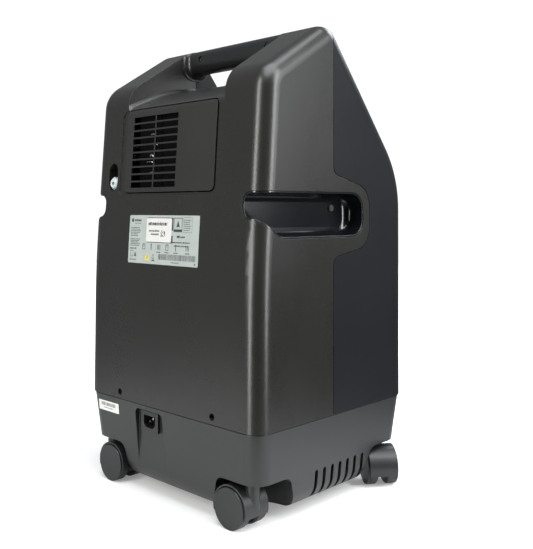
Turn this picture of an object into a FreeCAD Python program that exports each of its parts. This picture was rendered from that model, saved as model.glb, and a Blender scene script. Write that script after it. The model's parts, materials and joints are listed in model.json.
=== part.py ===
import FreeCAD, Part
import math
import os
import re
import Sketcher
from FreeCAD import Placement, Rotation, Vector

# Oxygen concentrator on four twin-wheel casters.
# Frame: origin on the floor under the middle, +Z up, the console faces -Y, the mains inlet +Y.

DOC = FreeCAD.newDocument("oxygen_concentrator")
SHEET = DOC.addObject("Spreadsheet::Sheet", "sizes")

# Driving dimensions, in millimetres and degrees.
DIMENSIONS = {
    # cabinet
    "cab_width": 342, "cab_depth": 304, "cab_top": 622, "seam_height": 120, "wall": 3,
    "edge_round": 22, "knee_height": 434, "knee_round": 140, "front_angle": 50,
    "ridge_back": 25, "ridge_round": 25, "back_angle": 33, "shoulder_y": 136.5,
    "shoulder_round": 42, "lean_start": 250, "lean_round": 1700, "lean_angle": 3.78,
    # channel between the two pillars, its deck and the console floor
    "channel_half": 99, "deck_back_y": 138.35, "deck_back_z": 522, "deck_mid_y": 62,
    "deck_mid_z": 556, "deck_round": 230, "crest_y": -15, "crest_z": 565, "floor_y": -105,
    "floor_z": 455, "ledge_z": 446, "bead_round": 7,
    # split between the rear and the front shell, with the rear shell's nose over each handhold
    "split_y": 12.5, "split_gap": 1, "nose_y": -66, "nose_top": 409, "nose_low": 334,
    # handholds
    "hold_front": -51, "hold_low": 348, "hold_top": 403, "hold_tip_y": 192, "hold_tip_z": 401,
    "hold_bevel_y": 112, "hold_inner": 141.5, "liner_screw_y": -18, "liner_screw_z": 384,
     "liner_wall": 2, "liner_inset": 0.9,
    # access panel and grille in the rear shell
    "panel_low_x": -87, "panel_high_x": 98, "panel_low": 405, "panel_top": 520.5, "panel_gap": 1.6,
    "frame_low_x": -92, "frame_high_x": 110, "frame_low": 399.5, "frame_step": 1.3,
    "grille_x": -12, "grille_width": 96, "grille_low": 410, "grille_height": 101, "grille_bar": 2.2,
    "grille_mid_x": 35,
    # base tub
    "base_width": 340, "base_depth": 302, "base_low": 12, "base_draft": 6, "base_round": 23,
    "belly_round": 27, "base_wall": 4, "well_floor": 61, "arch_round": 62, "arch_roof": 48, "groove": 1.2, "lip_height": 20,
    "vent_width": 6, "vent_pitch": 16, "vent_top": 54, "vent_first_y": 35.5,
    # casters
    "stem_x": 140, "stem_back": 127.5, "stem_front": -121, "trail": 20, "wheel_round": 25,
    "wheel_width": 15, "web": 11, "hood_round": 28, "hood_skin": 2.2, "hood_width": 39,
    "axle_round": 3, "stem_round": 5, "boss_round": 9, "boss_top": 56, "hood_cut": 17, "fit": 0.05,
    # handle
    "grip_y": 14, "grip_z": 604.8, "grip_depth": 34, "grip_height": 34, "grip_round": 12.5,
    "flare": 9, "flange": 2, "grip_screw_x": 68, "screw_z": 607,
    # screws in the lower rear corners
    "low_screw_x": 94, "low_screw_z": 129, "screw_hole": 4.5, "screw_head": 4.2, "screw_shank": 2,
    # mains inlet in its recess
    "recess_x": 4, "recess_width": 58, "recess_y": 142.4, "recess_top": 113, "recess_low": 28,
    "inlet_x": 35, "inlet_z": 97.5,
    # auxiliary port in its slot
    "slot_x": 126, "slot_low": 408, "slot_height": 39, "slot_round": 10.5, "port_round": 9.4,
    "cap_round": 8.4,
    # control console
    "console_half": 71, "console_low": 8, "console_high": 147, "console_thick": 8,
    "tube_round": 5.6, "ball_round": 4.4, "tube_low": 50, "tube_high": 118, "knob_round": 12,
    "rocker_width": 21, "rocker_height": 29, "outlet_round": 7.1,
    # compressor
    "shaft_y": 20, "shaft_z": 150, "shaft_round": 6, "motor_round": 54, "motor_half": 46,
    "crank_x": 66, "crank_width": 36, "eccentric": 4, "eccentric_round": 10.5, "ring_bore": 19.2,
    "ring_round": 24, "piston_round": 22, "cylinder_top": 232, "fan_x": 94, "fan_round": 44,
    # gas system and electrics
    "bed_x": 112, "bed_y": -92, "bed_round": 36, "bed_low": 126, "bed_high": 430,
    "tank_y": -98, "tank_round": 33, "tray_z": 61.2,
    "coil_round": 34, "tube_size": 3.6, "mount_x": 58, "mount_y": 46,
}


def fill_sheet():
    """Write every driving dimension into the sheet, one aliased cell each."""
    for row, (alias, value) in enumerate(DIMENSIONS.items(), start=1):
        SHEET.set(f"A{row}", alias)
        SHEET.set(f"B{row}", str(value))
        SHEET.setAlias(f"B{row}", alias)
    DOC.recompute()


def size(alias):
    """A driving dimension as a number."""
    return float(SHEET.get(alias))


def text(value):
    """An expression whose plain words are cells of the sheet."""
    def cell(match):
        word = match.group(0)
        return f"sizes.{word}" if word in DIMENSIONS else word
    return re.sub(r"[a-z_]+", cell, str(value))


def bind(thing, prop, value):
    thing.setExpression(prop, text(value))


# ---------------------------------------------------------------- solids from Part primitives
TURNS = {
    "X": Rotation(Vector(0, 1, 0), 90),
    "Y": Rotation(Vector(1, 0, 0), -90),
    "Z": Rotation(),
}


def place(thing, base, turn=None):
    """Put a piece at a point whose coordinates may be expressions."""
    if turn:
        thing.Placement = Placement(Vector(), turn)
    for letter, value in zip("xyz", base):
        bind(thing, f"Placement.Base.{letter}", value)
    return thing


def box(name, dims, corner, turn=None):
    thing = DOC.addObject("Part::Box", name)
    for prop, value in zip(("Length", "Width", "Height"), dims):
        bind(thing, prop, value)
    return place(thing, corner, turn)


def block(name, dims, centre):
    """A box given by its middle."""
    return box(name, dims, [f"({middle}) - ({length})/2" for middle, length in zip(centre, dims)])


def rod(name, radius, length, base, axis="Z"):
    thing = DOC.addObject("Part::Cylinder", name)
    bind(thing, "Radius", radius)
    bind(thing, "Height", length)
    return place(thing, base, TURNS[axis])


def cone(name, low_radius, high_radius, length, base, axis="Z"):
    thing = DOC.addObject("Part::Cone", name)
    bind(thing, "Radius1", low_radius)
    bind(thing, "Radius2", high_radius)
    bind(thing, "Height", length)
    return place(thing, base, TURNS[axis])


def ball(name, radius, centre):
    thing = DOC.addObject("Part::Sphere", name)
    bind(thing, "Radius", radius)
    return place(thing, centre)


def fuse(name, *parts):
    thing = DOC.addObject("Part::MultiFuse", name)
    thing.Shapes = list(parts)
    return thing


def common(name, *parts):
    thing = DOC.addObject("Part::MultiCommon", name)
    thing.Shapes = list(parts)
    return thing


def cut(name, base, *tools):
    tool = tools[0] if len(tools) == 1 else fuse(f"{name}_tools", *tools)
    thing = DOC.addObject("Part::Cut", name)
    thing.Base = base
    thing.Tool = tool
    return thing


def group(name, parts):
    """Several separate solids that share one node, such as identical fasteners."""
    thing = DOC.addObject("Part::Compound", name)
    thing.Links = list(parts)
    return thing


def mirrored(name, source):
    """The same piece on the other side of the X = 0 plane."""
    thing = DOC.addObject("Part::Mirroring", name)
    thing.Source = source
    thing.Normal = Vector(1, 0, 0)
    return thing


# ---------------------------------------------------------------- bodies from sketches
def new_body(name):
    return DOC.addObject("PartDesign::Body", name)


def sketch_on(body, name, role):
    sketch = body.newObject("Sketcher::SketchObject", name)
    plane = [plane for plane in body.Origin.OriginFeatures if plane.Role == role][0]
    sketch.AttachmentSupport = [(plane, "")]
    sketch.MapMode = "FlatFace"
    return sketch


def inward_shifts(corners):
    """How each corner of a closed outline moves when the outline shrinks by one unit."""
    count = len(corners)
    area = sum(corners[k].x * corners[(k + 1) % count].y - corners[(k + 1) % count].x * corners[k].y
               for k in range(count))
    side = math.copysign(1, area)
    shifts = []
    for k in range(count):
        before = corners[k].sub(corners[k - 1]).normalize()
        after = corners[(k + 1) % count].sub(corners[k]).normalize()
        normal_a = Vector(-before.y, before.x, 0) * side
        normal_b = Vector(-after.y, after.x, 0) * side
        shifts.append((normal_a + normal_b) * (1 / (1 + normal_a.dot(normal_b))))
    return shifts


def outline(body, name, role, points, inset=None, arcs=None):
    """A closed sketch through points given as expressions, shrunk by inset if one is given.

    The points run anticlockwise where arcs is used: it maps the index of a side to its radius.
    """
    arcs = arcs or {}
    sketch = sketch_on(body, name, role)
    count = len(points)
    start = [Vector(math.cos(2 * math.pi * k / count), math.sin(2 * math.pi * k / count), 0) * 50
             for k in range(count)]
    step = 2 * math.pi / count
    for k in range(count):
        if k in arcs:
            circle = Part.Circle(Vector(), Vector(0, 0, 1), 50)
            sketch.addGeometry(Part.ArcOfCircle(circle, k * step, (k + 1) * step))
        else:
            sketch.addGeometry(Part.LineSegment(start[k], start[(k + 1) % count]))
    for k in range(count):
        sketch.addConstraint(Sketcher.Constraint("Coincident", k, 2, (k + 1) % count, 1))
    for k, point in enumerate(points):
        for kind, value, first in zip(("DistanceX", "DistanceY"), point, start[k][:2]):
            index = sketch.addConstraint(Sketcher.Constraint(kind, -1, 1, k, 1, first))
            sketch.renameConstraint(index, f"{kind}{k}")
            bind(sketch, f"Constraints.{kind}{k}", value)
    DOC.recompute()
    for k, radius in arcs.items():
        index = sketch.addConstraint(Sketcher.Constraint("Radius", k, sketch.Geometry[k].Radius))
        sketch.renameConstraint(index, f"Radius{k}")
        bind(sketch, f"Constraints.Radius{k}", radius)
        DOC.recompute()
    if inset:
        shifts = inward_shifts([line.StartPoint for line in sketch.Geometry])
        for k, point in enumerate(points):
            for kind, value, shift in zip(("DistanceX", "DistanceY"), point, shifts[k][:2]):
                bind(sketch, f"Constraints.{kind}{k}", f"{value} + ({shift:.5f})*({inset})")
        DOC.recompute()
    return sketch


def pad(body, sketch, length, midplane=True, taper=None, reverse=False):
    feature = body.newObject("PartDesign::Pad", f"{body.Name}_pad")
    feature.Profile = sketch
    feature.Midplane = midplane
    feature.Reversed = reverse
    bind(feature, "Length", length)
    if taper:
        bind(feature, "TaperAngle", taper)
    DOC.recompute()
    return feature


def fillet(body, feature, edges, radius):
    rounding = body.newObject("PartDesign::Fillet", f"{body.Name}_fillet")
    rounding.Base = (feature, edges)
    bind(rounding, "Radius", radius)
    DOC.recompute()
    return rounding


def edge_names(shape, wanted):
    """Names of the edges that pass a test."""
    return [f"Edge{k}" for k, edge in enumerate(shape.Edges, start=1) if wanted(edge)]


def round_corners(body, sketch, feature, radii):
    """Round a padded outline at some of its corners: radii maps a corner's index to its radius."""
    normal = sketch.Placement.Rotation.multVec(Vector(0, 0, 1))
    corners = [sketch.Placement.multVec(line.StartPoint) for line in sketch.Geometry]

    def on_corner(edge, corner):
        ends = [vertex.Point.sub(corner) for vertex in edge.Vertexes]
        return len(ends) == 2 and all(end.cross(normal).Length < 0.01 for end in ends)
    for index, radius in radii.items():
        names = edge_names(feature.Shape, lambda edge: on_corner(edge, corners[index]))
        feature = fillet(body, feature, names, radius)
    return feature


def rounded_block(name, dims, corner_round, centre):
    """An upright block with rounded vertical edges, given by its middle."""
    body = new_body(name)
    width, depth, height = dims
    corners = [(f"{a}({width})/2", f"{b}({depth})/2") for a, b in ("--", "+-", "++", "-+")]
    sketch = outline(body, f"{name}_outline", "XY_Plane", corners)
    feature = pad(body, sketch, height)
    round_corners(body, sketch, feature, {k: corner_round for k in range(4)})
    return place(body, centre)


def prism(name, role, points, length, base=(0, 0, 0)):
    """A plain prism on a sketch, symmetric about the sketch's plane."""
    body = new_body(name)
    sketch = outline(body, f"{name}_outline", role, points)
    pad(body, sketch, length)
    return place(body, base)


# ---------------------------------------------------------------- cabinet
def cabinet_form(name, inset, low="seam_height"):
    """The cabinet's outer form: side outline, big roundings, then one rounding round each side."""
    run = "(cab_top - knee_height)/tan(front_angle)"
    drop = "(shoulder_y - ridge_back)*tan(back_angle)"
    lean_end_y = "cab_depth/2 - lean_round*(1 - cos(lean_angle))"
    points = [
        ("-cab_depth/2", low), ("cab_depth/2", low), ("cab_depth/2", "lean_start"),
        (lean_end_y, "lean_start + lean_round*sin(lean_angle)"),
        ("shoulder_y", f"cab_top - {drop}"), ("ridge_back", "cab_top"),
        (f"-cab_depth/2 + {run}", "cab_top"), ("-cab_depth/2", "knee_height"),
    ]
    body = new_body(name)
    sketch = outline(body, f"{name}_outline", "YZ_Plane", points, inset,
                     {2: f"lean_round - ({inset})"})
    feature = pad(body, sketch, f"cab_width - 2*({inset})")
    feature = round_corners(body, sketch, feature, {
        7: f"knee_round - ({inset})", 6: f"ridge_round - ({inset})", 5: f"ridge_round - ({inset})",
        4: f"shoulder_round - ({inset})",
    })
    half = feature.Shape.BoundBox.XMax
    bottom = feature.Shape.BoundBox.ZMin

    def on_side(edge):
        bounds = edge.BoundBox
        return abs(abs(bounds.Center.x) - half) < 0.01 and bounds.ZMax > bottom + 1
    fillet(body, feature, edge_names(feature.Shape, on_side), f"edge_round - ({inset})")
    return body


def channel_form(name, inset):
    """The open space between the pillars: above the deck and in front of the console floor."""
    points = [
        ("200", "480"), ("deck_back_y + 2.75", "480"), ("deck_back_y + 0.02", "deck_back_z"),
        ("deck_mid_y", "deck_mid_z"), ("crest_y", "crest_z"), ("floor_y", "floor_z"),
        ("-200", "ledge_z - 8"), ("-200", "700"), ("200", "700"),
    ]
    body = new_body(name)
    sketch = outline(body, f"{name}_outline", "YZ_Plane", points, inset)
    feature = pad(body, sketch, f"2*(channel_half - ({inset}))")
    return round_corners(body, sketch, feature, {
        2: f"14 + ({inset})", 3: f"deck_round + ({inset})", 4: f"12 + ({inset})",
        5: f"10 - ({inset})",
    }), body


def channel_tool():
    """The channel, with a rounded bead where the deck meets the pillars' walls."""
    feature, body = channel_form("channel", "0")
    deck = Vector(size("channel_half"), 100, 540)

    def deck_edge(edge):
        near = edge.distToShape(Part.Vertex(deck))[0] < 6
        return near and abs(edge.BoundBox.XLength) < 0.01
    fillet(body, feature, edge_names(feature.Shape, deck_edge)[:1], "bead_round")
    return body


def split_form(name, inset):
    """Everything behind the seam, with the rounded nose that runs forward over each handhold."""
    points = [
        ("split_y", "90"), ("split_y", "nose_low - 14"), ("nose_y", "nose_low"),
        ("nose_y", "nose_top"), ("split_y", "nose_top + 19"), ("split_y", "700"),
        ("300", "700"), ("300", "90"),
    ]
    body = new_body(name)
    sketch = outline(body, f"{name}_outline", "YZ_Plane", points, inset)
    feature = pad(body, sketch, "500")
    round_corners(body, sketch, feature, {1: "12", 2: "30", 3: "30", 4: "12"})
    return body


def handhold_form(name, inset):
    """The hollow of one handhold: it runs round the rear corner and is bevelled below it."""
    points = [
        ("hold_front", "hold_low"), ("hold_front", "hold_top"), ("hold_tip_y", "hold_tip_z"),
        ("hold_bevel_y", "hold_low"),
    ]
    body = new_body(name)
    sketch = outline(body, f"{name}_outline", "YZ_Plane", points, inset)
    feature = pad(body, sketch, "80", midplane=False, reverse=True)
    feature = round_corners(body, sketch, feature, {
        0: f"22 - ({inset})", 1: f"22 - ({inset})", 3: f"24 - ({inset})",
    })

    def inner_loop(edge):
        bounds = edge.BoundBox
        return abs(bounds.XMin) < 0.01 and abs(bounds.XMax) < 0.01
    inner = edge_names(feature.Shape, inner_loop)
    fillet(body, feature, inner, f"11 - ({inset})")
    return place(body, (f"-(hold_inner + ({inset}))", 0, 0))


def base_form(name, inset, low, belly=None):
    """The tub's outer form, drawn in all round by its draft, with a rounded belly if given one."""
    body = new_body(name)
    corners = [(f"{a}base_width/2", f"{b}base_depth/2") for a, b in ("--", "+-", "++", "-+")]
    sketch = outline(body, f"{name}_outline", "XY_Plane", corners, inset)
    feature = pad(body, sketch, f"seam_height - ({low})", False, "-base_draft", True)
    if belly:
        bottom = feature.Shape.BoundBox.ZMin
        under = edge_names(feature.Shape, lambda edge: edge.BoundBox.ZMax < bottom + 0.01)
        feature = fillet(body, feature, under, belly)
    upright = edge_names(feature.Shape, lambda edge: edge.BoundBox.ZLength > 5
                         and edge.BoundBox.XLength > 0.01 and edge.BoundBox.YLength > 0.01)
    fillet(body, feature, upright, f"base_round - ({inset})")
    return place(body, (0, 0, "seam_height"))


def cabinet():
    """Rear shell, front shell, access panel and handhold liners."""
    outer = cabinet_form("cabinet_outer", "0")
    inner = cabinet_form("cabinet_inner", "wall", "seam_height - 20")
    channel = channel_tool()
    cavity = cut("cavity", inner, channel_form("channel_skin", "-wall")[1])
    hollow = cut("hollow", outer, channel, cavity)

    # access panel, cut from the shell's own skin so that it follows the leaning back
    panel_width = "(panel_high_x - panel_low_x)"
    panel_height = "(panel_top - panel_low)"
    panel_middle = ("(panel_high_x + panel_low_x)/2", 145, "(panel_top + panel_low)/2")
    panel_block = rounded_panel("panel_block", panel_width, panel_height, "7", panel_middle)
    gap = "2*panel_gap"
    opening = rounded_panel("panel_opening", f"{panel_width} + {gap}", f"{panel_height} + {gap}",
                            "8.5", panel_middle)
    frame = rounded_panel("panel_frame", "(frame_high_x - frame_low_x)", "(panel_top - frame_low)",
                          "11", ("(frame_high_x + frame_low_x)/2", 145, "(panel_top + frame_low)/2"))
    frame = cut("frame_step_tool", frame, cabinet_form("frame_depth", "frame_step"))
    cut("rear_panel", common("panel_skin", hollow, panel_block), *grille_slots())

    # handholds
    hold = handhold_form("handhold", "0")
    hold_outer = handhold_form("handhold_outer", "-liner_wall")
    hold_opening = handhold_form("handhold_opening", "-(liner_wall + 0.2)")
    liner_limit = cabinet_form("liner_limit", "liner_inset")
    liner_skin = common("liner_skin", hold_outer, liner_limit)
    screw_bore = rod("liner_screw_bore", "2.1", "20", ("-hold_inner - 5", "liner_screw_y", "liner_screw_z"),
                     "X")
    cut("handhold_liner_left", liner_skin, hold, screw_bore)
    mirrored("handhold_liner_right", DOC.getObject("handhold_liner_left"))

    # auxiliary port slot with a cup behind it
    slot_middle = "slot_low + slot_height/2"
    slot = stadium("port_slot", "slot_round", "slot_height", "60", ("slot_x", 165, slot_middle))
    cup = stadium("port_cup", "slot_round + 2", "slot_height + 4", "22",
                  ("slot_x", 133, slot_middle))
    cup_hollow = stadium("port_cup_hollow", "slot_round", "slot_height", "40",
                         ("slot_x", 145, slot_middle))
    screw_holes = [rod(f"low_screw_hole_{side}", "screw_hole", "30", (f"{sign}low_screw_x", 130,
                   "low_screw_z"), "Y") for side, sign in (("left", "-"), ("right", "+"))]
    rear = common("rear_raw", hollow, split_form("behind_seam", "0"))
    rear = fuse("rear_with_cup", rear, common("port_cup_trimmed", cup, outer))
    cut("rear_shell", rear, opening, frame, hold_opening,
        mirrored("handhold_opening_right", hold_opening), slot, cup_hollow, *screw_holes)
    console_bay = rounded_block("console_bay", ("2*console_half - 12",
                                "console_high - console_low - 12", "30"), "5",
                                (0, "(console_low + console_high)/2", -8))
    cut("front_shell", hollow, split_form("behind_gap", "-split_gap"),
        on_console(group("console_opening", [console_bay])))
    return outer


def rounded_panel(name, width, height, corner_round, centre, depth="40"):
    """A slab across Y with rounded corners, given by its middle."""
    body = new_body(name)
    corners = [(f"{a}({width})/2", f"{b}({height})/2") for a, b in ("--", "+-", "++", "-+")]
    sketch = outline(body, f"{name}_outline", "XZ_Plane", corners)
    feature = pad(body, sketch, depth)
    round_corners(body, sketch, feature, {k: corner_round for k in range(4)})
    return place(body, centre)


def stadium(name, radius, height, depth, centre):
    """A tall slot with round ends, cut or raised along Y."""
    return rounded_panel(name, f"2*({radius})", height, f"({radius}) - 0.01", centre, depth)


def grille_slots():
    """Two columns of ten slots, with a thin upright between them."""
    rows = 10
    pitch = "grille_height/10"
    columns = {
        "near": ("grille_x", "grille_mid_x - grille_bar/2 - grille_x"),
        "far": ("grille_mid_x + grille_bar/2", "grille_x + grille_width - grille_mid_x - grille_bar/2"),
    }
    slots = []
    for column, (start, width) in columns.items():
        for row in range(rows):
            low = f"grille_low + {row}*{pitch} + grille_bar/2"
            slots.append(box(f"grille_{column}_{row}", (width, "40", f"{pitch} - grille_bar"),
                             (start, 125, low)))
    return slots


def base():
    """The tub under the cabinet, with wheel arches, side vents and the mains recess."""
    form = base_form("base_form", "0", "base_low", "belly_round")
    cavity = base_form("base_cavity", "base_wall", "well_floor")
    long_well = rounded_block("long_well", ("156", "228", "60"), "12", (0, 0, "17 + 30"))
    wide_well = rounded_block("wide_well", ("292", "122", "60"), "12", (0, 0, "27 + 30"))
    lip_inset = "2*(wall + 0.4)"
    lip = rounded_block("lip", (f"cab_width - {lip_inset}", f"cab_depth - {lip_inset}", "lip_height + 4"),
                        "edge_round - wall", (0, 0, "seam_height + lip_height/2 - 2"))
    lip_hollow = rounded_block("lip_hollow", (f"cab_width - {lip_inset} - 6",
                               f"cab_depth - {lip_inset} - 6", "lip_height + 60"),
                               "edge_round - 2*wall", (0, 0, "seam_height + lip_height/2"))
    ledge = base_form("lip_ledge", "1.2", "seam_height - 8")
    ledge_hollow = rounded_block("ledge_hollow", ("cab_width - 22", "cab_depth - 22", "40"),
                                 "12", (0, 0, "seam_height - 4"))
    posts = []
    post_bores = []
    for side, sign in (("left", "-"), ("right", "+")):
        posts.append(block(f"screw_post_{side}", ("20", "15", "19"), (f"{sign}low_screw_x", 139,
                     "low_screw_z - 0.5")))
        post_bores.append(rod(f"screw_head_bore_{side}", "screw_hole", "20",
                              (f"{sign}low_screw_x", 138, "low_screw_z"), "Y"))
        post_bores.append(rod(f"screw_shank_bore_{side}", "screw_shank + fit", "20",
                              (f"{sign}low_screw_x", 125, "low_screw_z"), "Y"))
    backing = box("recess_backing", ("recess_width + 8", "10", "recess_top - recess_low + 8"),
                  ("recess_x - 4", "recess_y - 4", "recess_low - 4"))
    backing = common("recess_wall", backing, form)
    recess = rounded_panel("recess", "recess_width", "recess_top - recess_low", "8",
                           ("recess_x + recess_width/2", "recess_y + 20",
                            "(recess_top + recess_low)/2"))
    rim_block = block("groove_block", ("400", "400", "groove"), (0, 0, "seam_height - groove/2"))
    groove = cut("seam_groove", rim_block, base_form("groove_core", "groove", "seam_height - 20"))
    inlet_hole = block("inlet_hole", ("28.4", "40", "20.4"), ("inlet_x", "recess_y", "inlet_z"))
    arches = []
    sockets = []
    socket_bores = []
    for name, stem in stems():
        arches.append(wheel_arch(name, stem))
        sockets.append(rod(f"socket_{name}", "11", "34", (*stem, "well_floor - 1")))
        socket_bores.append(rod(f"socket_bore_{name}", "stem_round + 0.02", "60", (*stem, 40)))
    shelled = cut("tub_shelled", form, cavity, long_well, wide_well)
    rim = cut("tub_rim", fuse("tub_rim_solid", lip, ledge), lip_hollow)
    rim = cut("tub_rim_open", rim, cut("ledge_clear", ledge_hollow, lip))
    tub = fuse("tub_joined", shelled, rim, backing, *posts, *sockets)
    cut("base_tub", tub, *arches, *socket_bores, recess, groove, inlet_hole, *post_bores,
        *vent_slots())
    return form


def stems():
    """The four casters: name and where the stem stands."""
    return (("rear_left", ("-stem_x", "stem_back")), ("rear_right", ("stem_x", "stem_back")),
            ("front_left", ("-stem_x", "stem_front")), ("front_right", ("stem_x", "stem_front")))


def wheel_arch(name, stem):
    """A clearance over one caster that widens downwards, with a rounded roof."""
    body = new_body(f"arch_{name}")
    sketch = outline(body, f"arch_{name}_outline", "XZ_Plane", [
        ("0", "-5"), ("arch_round", "-5"), ("arch_roof", "boss_top + 1"), ("0", "boss_top + 1")])
    turned = body.newObject("PartDesign::Revolution", f"arch_{name}_turned")
    turned.Profile = sketch
    turned.ReferenceAxis = (sketch, ["V_Axis"])
    turned.Angle = 360
    DOC.recompute()
    top = turned.Shape.BoundBox.ZMax
    roof = edge_names(turned.Shape, lambda edge: edge.BoundBox.ZMin > top - 0.01
                      and edge.BoundBox.XLength > 10 and edge.Curve.TypeId == "Part::GeomCircle")
    fillet(body, turned, roof, "12")
    return place(body, (*stem, 0))


def vent_slots():
    """Seven slots on each side that wrap round the belly's lower edge."""
    slots = []
    for side, sign in (("left", "-"), ("right", "+")):
        for index in range(7):
            middle = f"vent_first_y - {index}*vent_pitch"
            name = f"vent_{side}_{index}"
            slots.append(block(f"{name}_upper", ("40", "vent_width", "vent_top - 25"),
                               (f"{sign}163", middle, "(vent_top + 19)/2")))
            slots.append(rod(f"{name}_end", "vent_width/2", "40",
                             (f"{sign}163 - 20", middle, "vent_top - 3"), "X"))
            slots.append(block(f"{name}_lower", ("40", "vent_width", "20"),
                               (f"{sign}171", middle, 14)))
    return slots


# ---------------------------------------------------------------- handle, labels, fasteners
def handle(outer):
    """The cross bar between the pillars: two moulded halves that screw together from behind."""
    grip = new_body("grip_form")
    half_y = "grip_depth/2"
    half_z = "grip_height/2"
    corners = [(f"grip_y {a} {half_y}", f"grip_z {b} {half_z}") for a, b in ("--", "+-", "++", "-+")]
    sketch = outline(grip, "grip_outline", "YZ_Plane", corners)
    feature = pad(grip, sketch, "2*channel_half")
    round_corners(grip, sketch, feature, {k: "grip_round" for k in range(4)})
    flanges = []
    for side, sign in (("left", "-"), ("right", "+")):
        flange = new_body(f"grip_flange_{side}")
        wide = [(f"grip_y {a} ({half_y} + flare)", f"grip_z {b} ({half_z} + flare)")
                for a, b in ("--", "+-", "++", "-+")]
        wide_sketch = outline(flange, f"grip_flange_outline_{side}", "YZ_Plane", wide)
        plate = pad(flange, wide_sketch, "flange")
        round_corners(flange, wide_sketch, plate, {k: "grip_round + flare" for k in range(4)})
        flanges.append(place(flange, (f"{sign}(channel_half - flange/2)", 0, 0)))
    joined = fuse("grip_joined", grip, *flanges)
    DOC.recompute()
    inner_x = size("channel_half") - size("flange")

    def root_edge(edge):
        bounds = edge.BoundBox
        flat = bounds.XLength < 0.01 and abs(abs(bounds.Center.x) - inner_x) < 0.01
        half = size("grip_depth")/2 + 0.1
        return (flat and bounds.YMax < size("grip_y") + half and bounds.YMin > size("grip_y") - half
                and bounds.ZMax < size("grip_z") + half and bounds.ZMin > size("grip_z") - half)
    flared = DOC.addObject("Part::Fillet", "grip_flared")
    flared.Base = joined
    reach = size("flare") - 0.4
    flared.Edges = [(k, reach, reach) for k, edge in enumerate(joined.Shape.Edges, start=1)
                    if root_edge(edge)]
    trimmed = common("grip_trimmed", flared, outer)
    behind = box("grip_behind", ("400", "100", "100"), (-200, "split_y", 560))
    bores = []
    for side, sign in (("left", "-"), ("right", "+")):
        spot = (f"{sign}grip_screw_x", "split_y - 8", "screw_z")
        bores.append(rod(f"grip_shank_bore_{side}", "screw_shank + fit", "40", spot, "Y"))
        head = (f"{sign}grip_screw_x", "grip_y + grip_depth/2 - 4.5", "screw_z")
        bores.append(rod(f"grip_head_bore_{side}", "screw_head + 0.6", "20", head, "Y"))
    whole = cut("grip_bored", trimmed, *bores)
    common("handle_rear", whole, behind)
    cut("handle_front", whole, DOC.getObject("grip_behind"))


def screw(name, base, turn, length="11"):
    """A pan-head screw whose head looks along its own +Z, with a cross recess."""
    head = rod(f"{name}_head", "screw_head", "2.2", (0, 0, 0))
    shank = rod(f"{name}_shank", "screw_shank", length, (0, 0, f"-({length})"))
    solid = fuse(f"{name}_solid", head, shank)
    slots = [block(f"{name}_slot_{k}", dims, (0, 0, "2.2")) for k, dims in enumerate(
        (("4.6", "1", "2.2"), ("1", "4.6", "2.2")))]
    return place(cut(name, solid, *slots), base, turn)


def fasteners():
    """Six equal screws: two in the handle, two low in the rear shell, one in each liner."""
    back = TURNS["Y"]
    screws = []
    for side, sign in (("left", "-"), ("right", "+")):
        screws.append(screw(f"grip_screw_{side}", (f"{sign}grip_screw_x",
                      "grip_y + grip_depth/2 - 4.5", "screw_z"), back))
        screws.append(screw(f"low_screw_{side}", (f"{sign}low_screw_x", 138, "low_screw_z"), back))
        turn = Rotation(Vector(0, 1, 0), -90 if sign == "-" else 90)
        screws.append(screw(f"liner_screw_{side}", (f"{sign}(hold_inner + 0.02)", "liner_screw_y",
                      "liner_screw_z"), turn, "6"))
    group("cover_screws", screws)


def labels(outer, tub_form):
    """A rating label on the back and an inventory sticker on the tub, each 0.3 mm thick."""
    label = rounded_panel("label_block", "145", "65", "2", (7, 145, 341))
    cut("rating_label", common("label_skin", label, cabinet_form("label_limit", "-0.3")), outer)
    sticker = rounded_panel("sticker_block", "47", "14", "1", (123.5, 145, 103))
    limit = base_form("sticker_limit", "-0.3", "60")
    cut("inventory_label", common("sticker_skin", sticker, limit), tub_form)


# ---------------------------------------------------------------- inlet and port
def power_inlet():
    """A mains inlet: flange, body, a deep socket with chamfered lower corners and three pins."""
    flange = rounded_panel("inlet_flange", "36", "27", "2.5",
                           ("inlet_x", "recess_y + 2.1", "inlet_z"), "4")
    rear = block("inlet_rear", ("28", "24", "20"), ("inlet_x", "recess_y - 11.9", "inlet_z"))
    body = fuse("inlet_body", flange, rear)
    half = "12"
    socket_points = [(f"-{half}", "8"), (f"-{half}", "-3.5"), ("-7.5", "-8"), ("7.5", "-8"),
                     (half, "-3.5"), (half, "8")]
    socket = prism("inlet_socket", "XZ_Plane", socket_points, "36",
                   ("inlet_x", "recess_y + 4.2", "inlet_z"))
    shell = cut("inlet_shell", body, socket)
    pins = [block(f"inlet_pin_{k}", ("2", "14.5", "4"), (f"inlet_x + {x}", "recess_y - 9.5",
            f"inlet_z + {z}")) for k, (x, z) in enumerate(((-7, -1.5), (7, -1.5), (0, 2.5)))]
    fuse("power_inlet", shell, *pins)


def auxiliary_port():
    """A clear ribbed cap on a short tube, seated in the slot's cup."""
    def on_axis(y):
        return ("slot_x", y, "slot_low + slot_round")
    base = rod("port_base", "port_round - 2", "3", on_axis(125.1), "Y")
    cap = rod("port_cap", "cap_round", "14", on_axis(128), "Y")
    nose = cone("port_nose", "cap_round", "cap_round - 2", "2.5", on_axis(142), "Y")
    bore = rod("port_bore", "2.5", "30", on_axis(130), "Y")
    ribs = []
    count = 14
    for k in range(count):
        angle = 360 * k / count
        ribs.append(rod(f"port_rib_{k}", "port_round - cap_round", "13", (
            f"slot_x + cap_round*cos({angle:.3f})", 128.4,
            f"slot_low + slot_round + cap_round*sin({angle:.3f})"), "Y"))
    cut("auxiliary_port", fuse("port_solid", base, cap, nose, *ribs), bore)


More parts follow.
